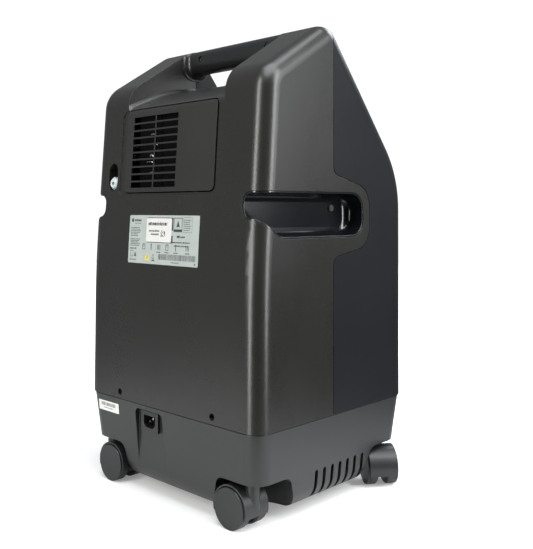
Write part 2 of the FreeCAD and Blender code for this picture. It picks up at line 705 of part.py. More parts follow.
# ---------------------------------------------------------------- casters
def caster(name, stem, heading):
    """One twin-wheel caster. Built about its stem, trailing along +Y, then turned to heading."""
    x, y = stem
    turn = Rotation(Vector(0, 0, 1), heading)
    prefix = f"caster_{name}"

    # stem: a steel pin pressed up into the tub's socket
    pin = rod(f"{prefix}_pin", "stem_round", "58", (0, 0, "wheel_round + 6"))
    flange = rod(f"{prefix}_flange", "boss_round - 1", "0.6", (0, 0, "boss_top + 0.4"))
    place(fuse(f"{prefix}_stem", pin, flange), (x, y, 0), turn)

    # hood: a round cover over the wheels, open at the sides and underneath
    axle_at = ("-hood_width/2", "trail", "wheel_round")
    drum = rod(f"{prefix}_drum", "hood_round", "hood_width", axle_at, "X")
    boss = rod(f"{prefix}_boss", "boss_round", "boss_top - wheel_round", (0, 0, "wheel_round"))
    wells = []
    for side, start in (("in", "-hood_width/2 - 1"), ("out", "web/2")):
        wells.append(rod(f"{prefix}_well_{side}", "hood_round - hood_skin",
                         "(hood_width - web)/2 + 1", (start, "trail", "wheel_round"), "X"))
    below = block(f"{prefix}_below", ("80", "90", "40"), (0, "trail", "hood_cut - 20"))
    bore = rod(f"{prefix}_bore", "stem_round + fit", "80", (0, 0, "wheel_round + 5"))
    axle_bore = rod(f"{prefix}_axle_bore", "axle_round", "60", ("-30", "trail", "wheel_round"), "X")
    hood = cut(f"{prefix}_hood", fuse(f"{prefix}_hood_solid", drum, boss), *wells, below, bore,
               axle_bore)
    place(hood, (x, y, 0), turn)

    # axle and the two wheels
    axle = rod(f"{prefix}_axle_rod", "axle_round", "hood_width - 9", ("-(hood_width - 9)/2", "trail",
               "wheel_round"), "X")
    place(fuse(f"{prefix}_axle", axle, rod(f"{prefix}_axle_collar", "axle_round", "web",
          ("-web/2", "trail", "wheel_round"), "X")), (x, y, 0), turn)
    for side, sign in (("inner", "-"), ("outer", "+")):
        wheel(f"{prefix}_wheel_{side}", sign, (x, y), turn)


def wheel(name, sign, stem, turn):
    """A wheel turned about the axle: a tread, a fine groove and a flat cap as its outer face."""
    body = new_body(f"{name}_turned")
    near = "(web/2 + 0.7)"
    far = f"({near} + wheel_width)"
    profile = [
        (near, "axle_round + fit"), (near, "wheel_round - 2"), (f"{near} + 2", "wheel_round"),
        (f"{far} - 3.4", "wheel_round"), (f"{far} - 3.2", "wheel_round - 0.5"),
        (f"{far} - 2.6", "wheel_round - 0.5"), (f"{far} - 2.4", "wheel_round"),
        (f"{far} - 0.7", "wheel_round"), (far, "wheel_round - 0.7"), (far, "0"),
        (f"{far} - 2", "0"), (f"{far} - 2", "axle_round + fit"),
    ]
    points = [(f"{sign}({across})", up) for across, up in profile]
    sketch = outline(body, f"{name}_profile", "XZ_Plane", points)
    turned = body.newObject("PartDesign::Revolution", f"{name}_revolution")
    turned.Profile = sketch
    turned.ReferenceAxis = (sketch, ["H_Axis"])
    turned.Angle = 360
    place(body, (0, "trail", "wheel_round"))
    spun = DOC.addObject("Part::Compound", name)
    spun.Links = [body]
    place(spun, (stem[0], stem[1], 0), turn)


def casters():
    """Rear casters trail inwards; the front ones are turned outwards and back."""
    headings = {"rear_left": -90, "rear_right": 90, "front_left": 52, "front_right": -52}
    for name, stem in stems():
        caster(name, stem, headings[name])


# ---------------------------------------------------------------- console
def on_console(thing):
    """Lay a piece drawn with Y up the slope and Z out of it on the console's floor."""
    run = size("crest_y") - size("floor_y")
    rise = size("crest_z") - size("floor_z")
    slope = math.degrees(math.atan2(rise, run))
    return place(thing, (0, "floor_y", "floor_z"), Rotation(Vector(1, 0, 0), slope))


def console():
    """The sloping control panel between the pillars, and everything mounted in it."""
    middle = "(console_low + console_high)/2"
    long = "(console_high - console_low)"
    plate = rounded_block("console_plate", ("2*console_half", long, "console_thick - 0.4"), "8",
                          (0, middle, "console_thick/2 + 0.2"))
    rows = {"knob_bore": ("-42", "27", "3.6"), "outlet_bore": ("0", "34", "8.1"),
            "breaker_bore": ("42", "84", "7.1")}
    bores = [rod(name, radius, "30", (x, y, "-5")) for name, (x, y, radius) in rows.items()]
    meter_bay = block("meter_bay", ("32.4", "88.4", "30"), (-42, 86, 14))
    switch_bay = block("switch_bay", ("rocker_width + 1", "rocker_height + 3", "30"), (42, 42, 10))
    hour_bay = block("hour_bay", ("36.4", "20.4", "30"), (4, 84, 10))
    light_bay = block("light_bay", ("14.4", "40.4", "30"), (46, 118, 16.5))
    on_console(cut("control_console", plate, *bores, meter_bay, switch_bay, hour_bay, light_bay))

    # flow meter: a clear block with a long bore and the ball in it
    meter = rounded_block("meter_block", ("32", "88", "20"), "3", (-42, 86, 14))
    tube = rod("meter_tube", "tube_round", "tube_high - tube_low + 2*ball_round",
               (-42, "tube_low - ball_round - 0.4", 15), "Y")
    on_console(cut("flow_meter", meter, tube))
    float_ball = ball("float_ball", "ball_round", (-42, "tube_low", 15))
    on_console(group("flow_float", [float_ball]))

    # flow knob: fluted grip on a spindle
    grip = rod("knob_grip", "knob_round", "13", (-42, 27, "console_thick + 0.8"))
    skirt = cone("knob_skirt", "knob_round + 1", "knob_round", "3", (-42, 27, "console_thick + 0.8"))
    spindle = rod("knob_spindle", "3.55", "14", (-42, 27, -2))
    count = 16
    flutes = [rod(f"knob_flute_{k}", "1.3", "20", (
        f"-42 + (knob_round + 0.5)*cos({360 * k / count:.1f})",
        f"27 + (knob_round + 0.5)*sin({360 * k / count:.1f})",
        "console_thick + 4")) for k in range(count)]
    pointer = block("knob_pointer", ("1.4", "9", "2"), (-42, 32, "console_thick + 13.8"))
    on_console(cut("flow_knob", fuse("knob_solid", grip, skirt, spindle), *flutes, pointer))

    # power rocker, stored with its lower half pressed in
    rocker = prism("rocker_form", "YZ_Plane", [
        ("-rocker_height/2", "-7"), ("rocker_height/2", "-7"), ("rocker_height/2", "2.2"),
        ("0", "0.6"), ("-rocker_height/2", "2.2")], "rocker_width")
    place(rocker, (0, 0, 0), Rotation(Vector(1, 0, 0), 7))
    pivot = rod("rocker_pivot", "2", "rocker_width + 0.8", ("-(rocker_width + 0.8)/2", 0, 0), "X")
    seat = place(fuse("rocker_seat", rocker, pivot), (42, 42, "console_thick"))
    on_console(group("power_switch", [seat]))

    # reset breaker with its button
    collar = rod("breaker_collar", "8.6", "2.5", (42, 84, "console_thick"))
    barrel = rod("breaker_barrel", "7", "26", (42, 84, "console_thick - 26"))
    breaker_hole = rod("breaker_hole", "4.1", "30", (42, 84, "console_thick - 12"))
    on_console(cut("circuit_breaker", fuse("breaker_solid", collar, barrel), breaker_hole))
    on_console(group("breaker_button", [rod("breaker_plunger", "4.05", "14",
                                             (42, 84, "console_thick - 7.5"))]))

    # oxygen outlet: hexagon, threaded nose and a barbed stem
    hexagon = [(f"10.4*cos({60 * k})", f"10.4*sin({60 * k})") for k in range(6)]
    nut = prism("outlet_nut", "XY_Plane", hexagon, "5", (0, 34, "console_thick + 2.7"))
    nose = rod("outlet_nose", "outlet_round", "14", (0, 34, "console_thick + 5"))
    tail = rod("outlet_tail", "8", "17.8", (0, 34, "console_thick - 17.6"))
    bore = rod("outlet_bore_hole", "3", "60", (0, 34, -20))
    on_console(cut("oxygen_outlet", fuse("outlet_solid", nut, nose, tail), bore))

    # status lights in one bezel, and the hour meter
    bezel = rounded_block("light_bezel", ("14", "40", "5"), "3", (46, 118, "console_thick"))
    lens_spots = (106, 118, 130)
    lens_bores = [rod(f"lens_bore_{k}", "3.3", "12", (46, y, "console_thick - 5"))
                  for k, y in enumerate(lens_spots)]
    lenses = [rod(f"lens_{k}", "3.2", "5.6", (46, y, "console_thick - 2.5"))
              for k, y in enumerate(lens_spots)]
    on_console(group("status_lights", [cut("light_plate", bezel, *lens_bores), *lenses]))
    meter_case = rounded_block("hour_case", ("36", "20", "16"), "2", (4, 84, "console_thick - 6.4"))
    window = block("hour_window", ("29", "10", "2"), (4, 84, "console_thick + 1.6"))
    on_console(cut("hour_meter", meter_case, window))


# ---------------------------------------------------------------- compressor
def compressor():
    """A twin-cylinder compressor on rubber feet: motor in the middle, a crank at each end."""
    axis_point = ("shaft_y", "shaft_z")
    motor = rod("motor_case", "motor_round", "2*motor_half", ("-motor_half", *axis_point), "X")
    plate = block("motor_plate", ("2*mount_x + 24", "2*mount_y + 22", "8"),
                  (0, "shaft_y", "shaft_z - 51"))
    housings = []
    hollows = []
    bores = []
    for side, sign in (("left", "-"), ("right", "+")):
        middle = f"{sign}crank_x"
        housings.append(block(f"crankcase_{side}", ("crank_width + 8", "64", "70"),
                              (middle, "shaft_y", "shaft_z")))
        housings.append(rod(f"cylinder_{side}", "piston_round + 5", "cylinder_top - shaft_z - 10",
                            (middle, "shaft_y", "shaft_z + 10")))
        hollows.append(block(f"crank_hollow_{side}", ("crank_width - 4", "56", "62"),
                             (middle, "shaft_y", "shaft_z")))
        bores.append(rod(f"cylinder_bore_{side}", "piston_round + fit", "120",
                         (middle, "shaft_y", "shaft_z")))
    shaft_bore = rod("shaft_bore", "shaft_round + fit", "400", (-200, *axis_point), "X")
    cut("compressor_body", fuse("compressor_solid", motor, plate, *housings), *hollows, *bores,
        shaft_bore)

    # shaft with one eccentric at each crank, half a turn apart
    shaft = rod("shaft_rod", "shaft_round", "2*fan_x + 18", ("-fan_x - 4", *axis_point), "X")
    discs = [rod(f"eccentric_{side}", "eccentric_round", "14", (f"{sign}crank_x - 7",
             f"shaft_y + {sign}eccentric", "shaft_z"), "X") for side, sign in (("left", "-"),
                                                                             ("right", "+"))]
    fuse("crankshaft", shaft, *discs)

    # fan on the shaft's end
    hub = rod("fan_hub", "14", "16", ("fan_x", *axis_point), "X")
    blades = []
    count = 7
    for k in range(count):
        blade = block(f"fan_blade_{k}", ("3", "26", "fan_round - 12"), (0, 0, "fan_round/2 + 6"))
        pitched = place(group(f"fan_blade_pitched_{k}", [blade]), (0, 0, 0),
                        Rotation(Vector(0, 0, 1), 35))
        turned = group(f"fan_blade_turned_{k}", [pitched])
        blades.append(place(turned, ("fan_x + 8", *axis_point),
                            Rotation(Vector(1, 0, 0), 360 * k / count)))
    fan_limit = rod("fan_limit", "fan_round", "16", ("fan_x", *axis_point), "X")
    fan = common("fan_trimmed", fuse("fan_solid", hub, *blades), fan_limit)
    cut("cooling_fan", fan, rod("fan_bore", "shaft_round + 0.02", "60", ("fan_x - 20", *axis_point), "X"))

    # pistons: ring round the eccentric, rod and crown in one casting
    for side, sign in (("left", "-"), ("right", "+")):
        middle = f"{sign}crank_x"
        ring = rod(f"ring_{side}", "ring_round", "12", (f"{middle} - 6", *axis_point), "X")
        hole = rod(f"ring_hole_{side}", "ring_bore", "40", (f"{middle} - 20", *axis_point), "X")
        stem = block(f"piston_stem_{side}", ("10", "12", "34"), (middle, "shaft_y", "shaft_z + 38"))
        crown = rod(f"crown_{side}", "piston_round", "12", (middle, "shaft_y", "shaft_z + 54"))
        fuse(f"piston_{side}", cut(f"ring_open_{side}", ring, hole), stem, crown)

    # finned heads
    heads = []
    for side, sign in (("left", "-"), ("right", "+")):
        fins = [block(f"fin_{side}_{k}", ("52", "60", "3"), (f"{sign}crank_x", "shaft_y",
                f"cylinder_top + 4 + {6 * k}")) for k in range(4)]
        core = block(f"head_core_{side}", ("40", "46", "24"), (f"{sign}crank_x", "shaft_y",
                     "cylinder_top + 12.2"))
        heads.append(fuse(f"head_{side}", core, *fins))
    group("cylinder_heads", heads)

    mounts = []
    for k, (along_x, along_y) in enumerate(("--", "+-", "++", "-+")):
        spot = (f"{along_x}mount_x", f"shaft_y {along_y} mount_y")
        height = "(shaft_z - 55 - tray_z - 3)"
        column = rod(f"mount_column_{k}", "9", height, (*spot, "tray_z + 3"))
        waist = DOC.addObject("Part::Torus", f"mount_waist_{k}")
        bind(waist, "Radius1", "11")
        bind(waist, "Radius2", "4")
        place(waist, (*spot, f"tray_z + 3 + {height}/2"))
        mounts.append(cut(f"mount_{k}", column, waist))
    group("rubber_mounts", mounts)

    tray = rounded_block("tray_plate", ("270", "236", "3"), "14", (0, 0, "tray_z + 1.5"))
    holes = [rod(f"tray_hole_{name}", "13", "30", (*stem, "tray_z - 5")) for name, stem in stems()]
    cut("chassis_tray", tray, *holes)


def gas_system():
    """Sieve beds, product tank, valves, cooling coil, filters and the electrics."""
    for side, sign in (("left", "-"), ("right", "+")):
        foot = (f"{sign}bed_x", "bed_y", "bed_low")
        can = rod(f"bed_can_{side}", "bed_round", "bed_high - bed_low", foot)
        caps = [rod(f"bed_cap_{side}_{k}", "bed_round + 2", "8", (f"{sign}bed_x", "bed_y", z))
                for k, z in enumerate(("bed_low + 4", "bed_high - 12"))]
        port = rod(f"bed_port_{side}", "6", "14", (f"{sign}bed_x", "bed_y", "bed_high"))
        fuse(f"sieve_bed_{side}", can, *caps, port)
    tank = rod("tank_can", "tank_round", "150", (0, "tank_y", 250))
    domes = [ball(f"tank_dome_{k}", "tank_round", (0, "tank_y", z)) for k, z in enumerate((250, 400))]
    caps = common("tank_trim", fuse("tank_solid", tank, *domes),
                  block("tank_limit", ("90", "90", "186"), (0, "tank_y", 325)))
    fuse("product_tank", caps, rod("tank_port", "5", "12", (0, "tank_y", 417)))

    manifold = block("manifold", ("84", "34", "26"), (0, -30, 330))
    coils = [rod(f"solenoid_{k}", "11", "30", (x, -30, 342)) for k, x in enumerate((-27, 0, 27))]
    ports = [rod(f"valve_port_{k}", "5", "14", (x, -13, 326), "Y") for k, x in enumerate((-27, 27))]
    fuse("valve_block", manifold, *coils, *ports)

    # cooling coil: four rings of tube between two headers, in the fan's stream
    axis_point = ("shaft_y", "shaft_z")
    tubes = []
    for k in range(4):
        ring = DOC.addObject("Part::Torus", f"coil_ring_{k}")
        bind(ring, "Radius1", "coil_round")
        bind(ring, "Radius2", "tube_size")
        tubes.append(place(ring, (f"fan_x + 22 + {11 * k}", *axis_point), TURNS["X"]))
    for k, sign in enumerate("-+"):
        tubes.append(rod(f"coil_header_{k}", "tube_size + 1", "37", (
            "fan_x + 20", f"shaft_y {sign} coil_round", "shaft_z"), "X"))
    fuse("cooling_coil", *tubes)

    block("intake_filter", ("104", "12", "108"), (36, 122, 461))
    case = rod("muffler_case", "24", "96", (-118, 70, 132))
    muffler_port = rod("muffler_port", "5", "16", (-118, 70, 228))
    fuse("exhaust_muffler", case, muffler_port)

    board = block("board", ("150", "1.6", "96"), (0, 112, 300))
    chips = [block(f"chip_{k}", (w, "9", t), (x, 106.9, z)) for k, (x, z, w, t) in enumerate(
        ((-50, 320, "24", "20"), (-10, 315, "36", "30"), (40, 325, "18", "26"), (50, 280, "30", "14"),
         (-45, 275, "34", "14"), (5, 272, "16", "16")))]
    fuse("circuit_board", board, *chips)
    can = rod("capacitor_can", "21", "72", (-124, 6, 140))
    terminals = [block(f"terminal_{k}", ("1", "6", "8"), (x, 6, 215))
                 for k, x in enumerate((-130, -118))]
    fuse("start_capacitor", can, *terminals)


# ---------------------------------------------------------------- build, check and write
NODES = [
    "base_tub", "rear_shell", "front_shell", "rear_panel", "handle_rear", "handle_front",
    "cover_screws", "handhold_liner_left", "handhold_liner_right", "rating_label",
    "inventory_label", "power_inlet", "auxiliary_port", "control_console", "power_switch",
    "flow_meter", "flow_float", "flow_knob", "circuit_breaker", "breaker_button",
    "oxygen_outlet", "status_lights", "hour_meter", "compressor_body", "crankshaft",
    "cooling_fan", "piston_left", "piston_right", "cylinder_heads", "rubber_mounts",
    "chassis_tray", "sieve_bed_left", "sieve_bed_right", "product_tank", "valve_block",
    "cooling_coil", "intake_filter", "exhaust_muffler", "circuit_board", "start_capacitor",
] + [f"caster_{name}_{piece}" for name, _ in stems()
     for piece in ("stem", "hood", "axle", "wheel_inner", "wheel_outer")]


def check_document():
    """Stop if any object failed to compute."""
    failed = [thing.Name for thing in DOC.Objects
              if "Invalid" in thing.State or "Error" in thing.State]
    if failed:
        raise RuntimeError(f"objects that failed: {failed}")


def write_nodes():
    """Check each sub-part's shape and write it to its own file."""
    os.makedirs("parts", exist_ok=True)
    for name in NODES:
        node = DOC.getObject(name)
        node.Label = name
        shape = node.Shape
        if shape.isNull() or not shape.isValid() or not shape.Solids:
            raise RuntimeError(f"bad shape: {name}")
        shape.exportStep(f"parts/{name}.step")
        bounds = shape.BoundBox
        print(f"{name:32} solids {len(shape.Solids)}  volume {shape.Volume / 1000:9.2f} cm3  "
              f"z {bounds.ZMin:.1f} to {bounds.ZMax:.1f}")


fill_sheet()
OUTER = cabinet()
TUB_FORM = base()
handle(OUTER)
fasteners()
labels(OUTER, TUB_FORM)
power_inlet()
auxiliary_port()
casters()
console()
compressor()
gas_system()
DOC.recompute()
check_document()
write_nodes()
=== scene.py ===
import json
import math
import random

import bmesh
import bpy
from mathutils import Matrix, Vector
from mathutils.bvhtree import BVHTree


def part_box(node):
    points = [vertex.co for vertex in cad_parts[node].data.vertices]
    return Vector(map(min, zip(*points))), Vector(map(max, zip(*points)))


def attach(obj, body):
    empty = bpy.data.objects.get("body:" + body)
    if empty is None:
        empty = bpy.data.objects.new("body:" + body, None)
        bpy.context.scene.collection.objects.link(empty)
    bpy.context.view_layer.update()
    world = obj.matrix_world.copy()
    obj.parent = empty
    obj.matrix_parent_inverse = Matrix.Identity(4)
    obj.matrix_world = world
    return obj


# Looks of a floor-standing oxygen concentrator: finishes, printed marks, small fittings and studio.
# Metres throughout. The console faces -Y and the mains inlet +Y.

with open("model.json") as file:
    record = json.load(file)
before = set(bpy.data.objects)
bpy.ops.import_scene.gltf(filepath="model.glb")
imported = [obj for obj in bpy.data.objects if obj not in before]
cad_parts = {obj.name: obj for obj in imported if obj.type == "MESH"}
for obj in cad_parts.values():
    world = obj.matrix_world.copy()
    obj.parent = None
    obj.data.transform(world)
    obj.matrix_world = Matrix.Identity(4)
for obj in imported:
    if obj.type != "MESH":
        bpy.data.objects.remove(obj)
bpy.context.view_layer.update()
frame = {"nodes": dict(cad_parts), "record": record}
MM = 0.001
ROOM = 0.29             # strength of the surroundings in reflections
FLOOR_LIFT = 0.22       # glow that the camera sees on the paper beside the object
TO_CAMERA = (-0.70, 0.71)
BACK_ACROSS = (-1, 0, 0)
UPRIGHT = (0, 0, 1)
PRINT_LIFT = 0.05       # millimetres of ink over the surface it is printed on
random.seed(11)


# ---------------------------------------------------------------- node helpers
class Nodes:
    """Short calls for making and joining the nodes of one tree."""

    def __init__(self, tree):
        self.tree = tree
        self.tree.nodes.clear()

    def node(self, kind, links=None, values=None, **settings):
        made = self.tree.nodes.new(kind)
        for key, value in settings.items():
            setattr(made, key, value)
        for key, value in (values or {}).items():
            made.inputs[key].default_value = value
        for key, source in (links or {}).items():
            self.tree.links.new(source, made.inputs[key])
        return made

    def span(self, source, low, high, start=0.3, end=0.7):
        """A value mapped from start..end to low..high and held there beyond."""
        made = self.node("ShaderNodeMapRange", {"Value": source},
                         {"From Min": start, "From Max": end, "To Min": low, "To Max": high})
        return made.outputs[0]

    def math(self, operation, a, b):
        """Arithmetic on two values, each a socket or a number."""
        made = self.node("ShaderNodeMath", operation=operation)
        for index, value in enumerate((a, b)):
            if isinstance(value, (int, float)):
                made.inputs[index].default_value = value
            else:
                self.tree.links.new(value, made.inputs[index])
        return made.outputs[0]

    def vector(self, operation, source, constant):
        """A vector operation with a constant, giving a value."""
        made = self.node("ShaderNodeVectorMath", {0: source}, {1: constant}, operation=operation)
        return made.outputs["Value"]


class Shader(Nodes):
    """A material's node tree."""

    def __init__(self, name):
        self.material = bpy.data.materials.new(name)
        self.material.use_nodes = True
        super().__init__(self.material.node_tree)
        self.output = self.node("ShaderNodeOutputMaterial")
        self.place = self.node("ShaderNodeTexCoord").outputs["Object"]

    def noise(self, scale, detail=3.0, stretch=(1, 1, 1)):
        """Noise from 0 to 1, stretched along the axes if wanted."""
        source = self.place
        if stretch != (1, 1, 1):
            source = self.node("ShaderNodeMapping", {"Vector": source}, {"Scale": stretch}).outputs[0]
        found = self.node("ShaderNodeTexNoise", {"Vector": source}, {"Scale": scale, "Detail": detail})
        return found.outputs["Fac"]

    def mix(self, factor, first, second):
        """Blend of two colours, each a socket or a triple."""
        made = self.node("ShaderNodeMix", {"Factor": factor}, data_type="RGBA")
        for key, value in ((6, first), (7, second)):
            if isinstance(value, tuple):
                made.inputs[key].default_value = (*value, 1)
            else:
                self.tree.links.new(value, made.inputs[key])
        return made.outputs[2]

    def worn_edge(self, radius):
        """A rounded normal for the edges, and a mask of where they are."""
        bevel = self.node("ShaderNodeBevel", values={"Radius": radius}, samples=6)
        geometry = self.node("ShaderNodeNewGeometry")
        dot = self.node("ShaderNodeVectorMath", operation="DOT_PRODUCT")
        self.tree.links.new(bevel.outputs[0], dot.inputs[0])
        self.tree.links.new(geometry.outputs["Normal"], dot.inputs[1])
        return bevel.outputs[0], self.span(dot.outputs["Value"], 1.0, 0.0, 0.86, 0.995)

    def bump(self, height, distance, normal=None, strength=1.0):
        links = {"Height": height}
        if normal:
            links["Normal"] = normal
        return self.node("ShaderNodeBump", links, {"Strength": strength, "Distance": distance}).outputs[0]

    def finish(self, colour, roughness, normal, **values):
        """The principled surface; colour and roughness are sockets."""
        surface = self.node("ShaderNodeBsdfPrincipled", {"Base Color": colour, "Roughness": roughness,
                                                         "Normal": normal})
        for key, value in values.items():
            surface.inputs[key].default_value = value
        self.tree.links.new(surface.outputs[0], self.output.inputs[0])
        return self.material


def scaled(colour, factor):
    return tuple(min(1.0, part * factor) for part in colour)


def moulded(name, colour, rough, grain=0.0001, grain_scale=1100, edge=0.0006, wear=0.35, **values):
    """Moulded plastic: fine texture, cloudy tone, rounded edges that have worn a little lighter."""
    shader = Shader(name)
    rounded, mask = shader.worn_edge(edge)
    cloud = shader.noise(9.0, 4.0)
    tone = shader.mix(shader.span(cloud, 0.0, 1.0), scaled(colour, 0.88), scaled(colour, 1.13))
    speckle = shader.span(shader.noise(grain_scale, 2.0), 0.0, 1.0, 0.35, 0.65)
    tone = shader.mix(shader.math("MULTIPLY", speckle, 0.22), tone, scaled(colour, 1.5))
    ragged = shader.math("MULTIPLY", mask, shader.span(shader.noise(160.0, 3.0), 0.2, 1.0))
    tone = shader.mix(shader.math("MULTIPLY", ragged, wear), tone,
                      tuple(part + 0.05 for part in scaled(colour, 1.6)))
    rub = shader.noise(14.0, 5.0, (1, 1, 0.6))
    roughness = shader.math("ADD", shader.span(rub, rough - 0.015, rough + 0.02),
                            shader.math("MULTIPLY", speckle, 0.03))
    normal = shader.bump(shader.noise(grain_scale, 3.0), grain, rounded)
    return shader.finish(tone, roughness, normal, **values)


def metal(name, colour, rough, brushed=(1, 1, 1), grain=0.00002, **values):
    """Metal with fine working marks, faint stains and lighter edges."""
    shader = Shader(name)
    rounded, mask = shader.worn_edge(0.0003)
    stain = shader.span(shader.noise(35.0, 5.0), 0.0, 1.0, 0.35, 0.7)
    tone = shader.mix(stain, colour, scaled(colour, 0.72))
    tone = shader.mix(shader.math("MULTIPLY", mask, 0.5), tone, scaled(colour, 1.3))
    marks = shader.noise(700.0, 2.0, brushed)
    roughness = shader.span(marks, rough - 0.06, rough + 0.1)
    return shader.finish(tone, roughness, shader.bump(marks, grain, rounded), Metallic=1.0, **values)


def film(name, colour, rough=0.38):
    """Printed label stock: faint fibre, slightly handled."""
    shader = Shader(name)
    cloud = shader.span(shader.noise(60.0, 4.0), 0.0, 1.0)
    tone = shader.mix(cloud, scaled(colour, 0.94), scaled(colour, 1.03))
    roughness = shader.span(shader.noise(90.0, 3.0), rough - 0.05, rough + 0.07)
    return shader.finish(tone, roughness, shader.bump(shader.noise(1400.0, 2.0), 0.000015))


def clear(name, tint, rough, cloudy=0.12):
    """Clear plastic that is a little cloudy."""
    shader = Shader(name)
    haze = shader.span(shader.noise(120.0, 3.0), 0.0, 1.0)
    tone = shader.mix(haze, tint, scaled(tint, 0.9))
    roughness = shader.span(haze, rough, rough + cloudy, 0.0, 1.0)
    normal = shader.bump(shader.noise(260.0, 2.0), 0.000006)
    return shader.finish(tone, roughness, normal, **{"Transmission Weight": 0.85, "IOR": 1.46})


# ---------------------------------------------------------------- finishes
WARM_GREY = (0.0135, 0.0138, 0.0122)
FINISHES = {
    "rear_plastic": moulded("rear_plastic", WARM_GREY, 0.27, wear=0.25),
    "front_plastic": moulded("front_plastic", (0.0105, 0.0115, 0.0128), 0.32, wear=0.22,
                             **{"Specular IOR Level": 0.15}),
    "base_plastic": moulded("base_plastic", (0.0135, 0.0138, 0.0140), 0.30, edge=0.0011, wear=0.3),
    "panel_plastic": moulded("panel_plastic", (0.0135, 0.0138, 0.0125), 0.40, wear=0.35),
    "handle_plastic": moulded("handle_plastic", (0.011, 0.0113, 0.012), 0.28, wear=0.3),
    "liner_plastic": moulded("liner_plastic", (0.005, 0.0055, 0.007), 0.16, grain=0.00001, wear=0.6,
                             edge=0.0012, **{"Specular IOR Level": 0.6}),
    "screw_steel": metal("screw_steel", (0.16, 0.155, 0.15), 0.34),
    "label_film": film("label_film", (0.36, 0.40, 0.385)),
    "sticker_film": film("sticker_film", (0.66, 0.66, 0.645)),
    "inlet_plastic": moulded("inlet_plastic", (0.010, 0.010, 0.011), 0.3, wear=0.5),
    "port_plastic": moulded("port_plastic", (0.74, 0.77, 0.78), 0.16, grain=0.00002, wear=0.2,
                            **{"Transmission Weight": 0.35, "Subsurface Weight": 0.2}),
    "console_plastic": moulded("console_plastic", (0.020, 0.023, 0.030), 0.36),
    "switch_plastic": moulded("switch_plastic", (0.014, 0.10, 0.035), 0.22, grain=0.00001),
    "clear_plastic": clear("clear_plastic", (0.90, 0.95, 0.96), 0.03, 0.05),
    "float_steel": metal("float_steel", (0.72, 0.72, 0.73), 0.12, grain=0.000004),
    "knob_plastic": moulded("knob_plastic", (0.014, 0.014, 0.016), 0.34),
    "breaker_plastic": moulded("breaker_plastic", (0.012, 0.012, 0.012), 0.3),
    "button_plastic": moulded("button_plastic", (0.58, 0.57, 0.52), 0.28, grain=0.00001),
    "outlet_metal": metal("outlet_metal", (0.62, 0.61, 0.58), 0.2),
    "light_plastic": moulded("light_plastic", (0.02, 0.02, 0.022), 0.25),
    "meter_plastic": moulded("meter_plastic", (0.015, 0.015, 0.018), 0.2),
    "cast_metal": metal("cast_metal", (0.42, 0.42, 0.43), 0.5, grain=0.0001),
    "shaft_steel": metal("shaft_steel", (0.5, 0.5, 0.52), 0.25, (0.1, 1, 1)),
    "fan_plastic": moulded("fan_plastic", (0.03, 0.03, 0.032), 0.45),
    "isolator_rubber": moulded("isolator_rubber", (0.015, 0.015, 0.015), 0.75, grain=0.0001),
    "tray_steel": moulded("tray_steel", (0.32, 0.33, 0.34), 0.4, grain=0.00003),
    "bed_metal": metal("bed_metal", (0.55, 0.55, 0.56), 0.3, (1, 1, 0.08)),
    "tank_plastic": moulded("tank_plastic", (0.55, 0.55, 0.52), 0.4),
    "valve_plastic": moulded("valve_plastic", (0.05, 0.05, 0.06), 0.4),
    "coil_metal": metal("coil_metal", (0.55, 0.55, 0.56), 0.3),
    "filter_foam": moulded("filter_foam", (0.004, 0.004, 0.004), 0.9, grain=0.0008,
                           grain_scale=420, wear=0.1, **{"Specular IOR Level": 0.05}),
    "muffler_plastic": moulded("muffler_plastic", (0.02, 0.02, 0.02), 0.5),
    "board_laminate": moulded("board_laminate", (0.01, 0.07, 0.03), 0.35),
    "capacitor_case": metal("capacitor_case", (0.5, 0.5, 0.49), 0.28, (1, 1, 0.1)),
    "caster_plastic": moulded("caster_plastic", (0.0105, 0.0109, 0.012), 0.32, edge=0.0009, wear=0.35),
    "wheel_plastic": moulded("wheel_plastic", (0.0088, 0.0091, 0.0098), 0.28, edge=0.0006, wear=0.4),
    "caster_steel": metal("caster_steel", (0.5, 0.5, 0.5), 0.3),
}


def dress_cad():
    """Give every CAD node the finish of its slot."""
    slots = {part["node"]: part["material_slot"] for part in frame["record"]["subparts"]}
    for name, node in frame["nodes"].items():
        node.data.materials.clear()
        node.data.materials.append(FINISHES[slots[name]])


# ---------------------------------------------------------------- mesh helpers
def piece(name, mesh, material, body):
    """A new mesh object that moves with a CAD body."""
    mesh.name = name
    thing = bpy.data.objects.new(name, mesh)
    bpy.context.scene.collection.objects.link(thing)
    mesh.materials.append(material)
    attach(thing, body)
    return thing


def made_mesh(name, maker):
    """The mesh built up in the maker, which is then freed."""
    mesh = bpy.data.meshes.new(name)
    maker.to_mesh(mesh)
    maker.free()
    return mesh


def lofted(name, rings, closed_start=True):
    """A mesh through rings of as many points each, closed at its end and, if wanted, its start."""
    maker = bmesh.new()
    loops = [[maker.verts.new(point) for point in ring] for ring in rings]
    count = len(loops[0])
    for lower, upper in zip(loops, loops[1:]):
        for k in range(count):
            after = (k + 1) % count
            maker.faces.new((lower[k], lower[after], upper[after], upper[k]))
    maker.faces.new(loops[-1])
    if closed_start:
        maker.faces.new(loops[0][::-1])
    bmesh.ops.recalc_face_normals(maker, faces=maker.faces)
    return made_mesh(name, maker)


